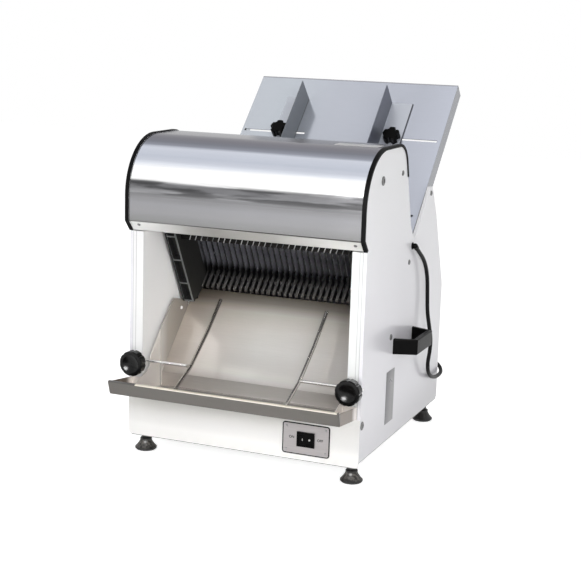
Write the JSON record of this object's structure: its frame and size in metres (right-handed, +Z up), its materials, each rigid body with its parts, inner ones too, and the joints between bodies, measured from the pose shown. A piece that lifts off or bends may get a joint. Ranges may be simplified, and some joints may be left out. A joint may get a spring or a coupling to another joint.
{
  "type": "electric bread slicer",
  "caption": "Bench-top bread slicer: sloping infeed tray, alternating vertical blade sashes under an arched hood, discharge chute with slice guides, rocker switch and cord.",
  "frame": {"origin": "on the floor under the middle of the object's box, cord left out", "axes": "+X to the right as seen from the discharge side, +Y from the discharge chute to the infeed tray, +Z up"},
  "size_m": [0.558, 0.7358, 0.702],
  "materials": {
    "white_paint": "gloss powder coat",
    "stainless": "fine brushed",
    "blade_steel": "satin",
    "black_plastic": "satin",
    "knob_plastic": "gloss",
    "black_rubber": "matt",
    "dark_metal": "satin",
    "bright_steel": "bright",
    "cast_grey": "painted",
    "cast_aluminium": "as cast"
  },
  "bodies": {
    "body": {"base_plate": "white_paint", "bed_comb": "blade_steel", "blade_rail_left": "black_plastic", "blade_rail_right": "black_plastic", "chute_screws": "bright_steel", "clamp_blocks": "cast_grey", "cord_relief": "black_plastic", "crank_bearings": "cast_grey", "discharge_chute": "stainless", "drive_belt": "black_rubber", "drive_motor": "dark_metal", "foot_nuts": "bright_steel", "front_panel": "white_paint", "guide_crossbar": "black_plastic", "hood": "stainless", "hood_trim_left": "black_plastic", "hood_trim_right": "black_plastic", "infeed_tray": "stainless", "inner_panel_left": "white_paint", "inner_panel_right": "white_paint", "mains_cord": "black_rubber", "mains_cord_coil": "black_rubber", "mains_plug": "black_plastic", "rear_cover": "white_paint", "sash_guide_left": "black_plastic", "sash_guide_right": "black_plastic", "side_bolts": "bright_steel", "side_handle_left": "black_plastic", "side_handle_right": "black_plastic", "side_plate_left": "white_paint", "side_plate_right": "white_paint", "switch_housing": "black_plastic", "switch_plate": "stainless", "switch_plate_screws": "bright_steel"},
    "front_sash_body": {"front_sash": "cast_aluminium", "front_blades": "blade_steel", "front_blade_hooks": "blade_steel"},
    "rear_sash_body": {"rear_sash": "cast_aluminium", "rear_blades": "blade_steel", "rear_blade_hooks": "blade_steel"},
    "crank": {"crankshaft": "bright_steel", "crank_pulley": "cast_grey"},
    "motor_rotor": {"motor_pulley": "cast_grey"},
    "front_rods": {"front_connecting_rod_left": "cast_grey", "front_connecting_rod_right": "cast_grey"},
    "rear_rods": {"rear_connecting_rod_left": "cast_grey", "rear_connecting_rod_right": "cast_grey"},
    "rocker": {"switch_rocker": "knob_plastic"},
    "slice_guide_left": {"slice_guide_left": "bright_steel"},
    "star_knob_left": {"star_knob_left": "knob_plastic"},
    "loaf_guide_left": {"loaf_guide_left": "dark_metal"},
    "loaf_guide_knob_left": {"loaf_guide_knob_left": "knob_plastic"},
    "slice_guide_right": {"slice_guide_right": "bright_steel"},
    "star_knob_right": {"star_knob_right": "knob_plastic"},
    "loaf_guide_right": {"loaf_guide_right": "dark_metal"},
    "loaf_guide_knob_right": {"loaf_guide_knob_right": "knob_plastic"},
    "foot_front_left": {"foot_front_left": "knob_plastic"},
    "foot_front_right": {"foot_front_right": "knob_plastic"},
    "foot_rear_left": {"foot_rear_left": "knob_plastic"},
    "foot_rear_right": {"foot_rear_right": "knob_plastic"}
  },
  "joints": [
    {"name": "front_sash_slide", "type": "slide", "parent": "body", "child": "front_sash_body", "axis": [0, -0.5, 0.866], "range_m": [-0.02, 0.02]},
    {"name": "rear_sash_slide", "type": "slide", "parent": "body", "child": "rear_sash_body", "axis": [0, -0.5, 0.866], "range_m": [-0.02, 0.02]},
    {"name": "crank_turn", "type": "hinge", "parent": "body", "child": "crank", "pos_m": [0, 0.07279, 0.1286], "axis": [1, 0, 0], "continuous": true},
    {"name": "motor_turn", "type": "hinge", "parent": "body", "child": "motor_rotor", "pos_m": [0, 0.17664, 0.12], "axis": [1, 0, 0], "continuous": true},
    {"name": "front_rods_turn", "type": "hinge", "parent": "crank", "child": "front_rods", "pos_m": [0, 0.05547, 0.1186], "axis": [1, 0, 0], "continuous": true},
    {"name": "rear_rods_turn", "type": "hinge", "parent": "crank", "child": "rear_rods", "pos_m": [0, 0.09011, 0.1386], "axis": [1, 0, 0], "continuous": true},
    {"name": "slice_guide_left_slide", "type": "slide", "parent": "body", "child": "slice_guide_left", "axis": [-1, 0, 0], "range_m": [-0.012, 0.055]},
    {"name": "star_knob_left_turn", "type": "hinge", "parent": "body", "child": "star_knob_left", "pos_m": [-0.2175, -0.25536, 0.1815], "axis": [0, -1, 0], "range_deg": [0, 360]},
    {"name": "loaf_guide_left_slide", "type": "slide", "parent": "body", "child": "loaf_guide_left", "axis": [-1, 0, 0], "range_m": [-0.053, 0.077]},
    {"name": "loaf_guide_knob_left_turn", "type": "hinge", "parent": "loaf_guide_left", "child": "loaf_guide_knob_left", "pos_m": [-0.134, 0.22033, 0.59169], "axis": [0, -0.7071, 0.7071], "range_deg": [0, 360]},
    {"name": "slice_guide_right_slide", "type": "slide", "parent": "body", "child": "slice_guide_right", "axis": [1, 0, 0], "range_m": [-0.012, 0.055]},
    {"name": "star_knob_right_turn", "type": "hinge", "parent": "body", "child": "star_knob_right", "pos_m": [0.2175, -0.25536, 0.1815], "axis": [0, -1, 0], "range_deg": [0, 360]},
    {"name": "loaf_guide_right_slide", "type": "slide", "parent": "body", "child": "loaf_guide_right", "axis": [1, 0, 0], "range_m": [-0.037, 0.082]},
    {"name": "loaf_guide_knob_right_turn", "type": "hinge", "parent": "loaf_guide_right", "child": "loaf_guide_knob_right", "pos_m": [0.118, 0.22033, 0.59169], "axis": [0, -0.7071, 0.7071], "range_deg": [0, 360]},
    {"name": "foot_front_left_turn", "type": "hinge", "parent": "body", "child": "foot_front_left", "pos_m": [-0.2127, -0.22686, 0], "axis": [0, 0, 1], "continuous": true},
    {"name": "foot_front_right_turn", "type": "hinge", "parent": "body", "child": "foot_front_right", "pos_m": [0.2127, -0.22686, 0], "axis": [0, 0, 1], "continuous": true},
    {"name": "foot_rear_left_turn", "type": "hinge", "parent": "body", "child": "foot_rear_left", "pos_m": [-0.2127, 0.21864, 0], "axis": [0, 0, 1], "continuous": true},
    {"name": "foot_rear_right_turn", "type": "hinge", "parent": "body", "child": "foot_rear_right", "pos_m": [0.2127, 0.21864, 0], "axis": [0, 0, 1], "continuous": true},
    {"name": "rocker_tip", "type": "hinge", "parent": "body", "child": "rocker", "pos_m": [0.1325, -0.25406, 0.0765], "axis": [0, 0, 1], "range_deg": [-16, 0]}
  ],
  "couplings": [
    {"joint": "rear_sash_slide", "follows": "front_sash_slide", "ratio": -1},
    {"joint": "motor_turn", "follows": "crank_turn", "ratio": 3.2222},
    {"joint": "front_rods_turn", "follows": "crank_turn", "ratio": -1},
    {"joint": "rear_rods_turn", "follows": "crank_turn", "ratio": -1}
  ]
}
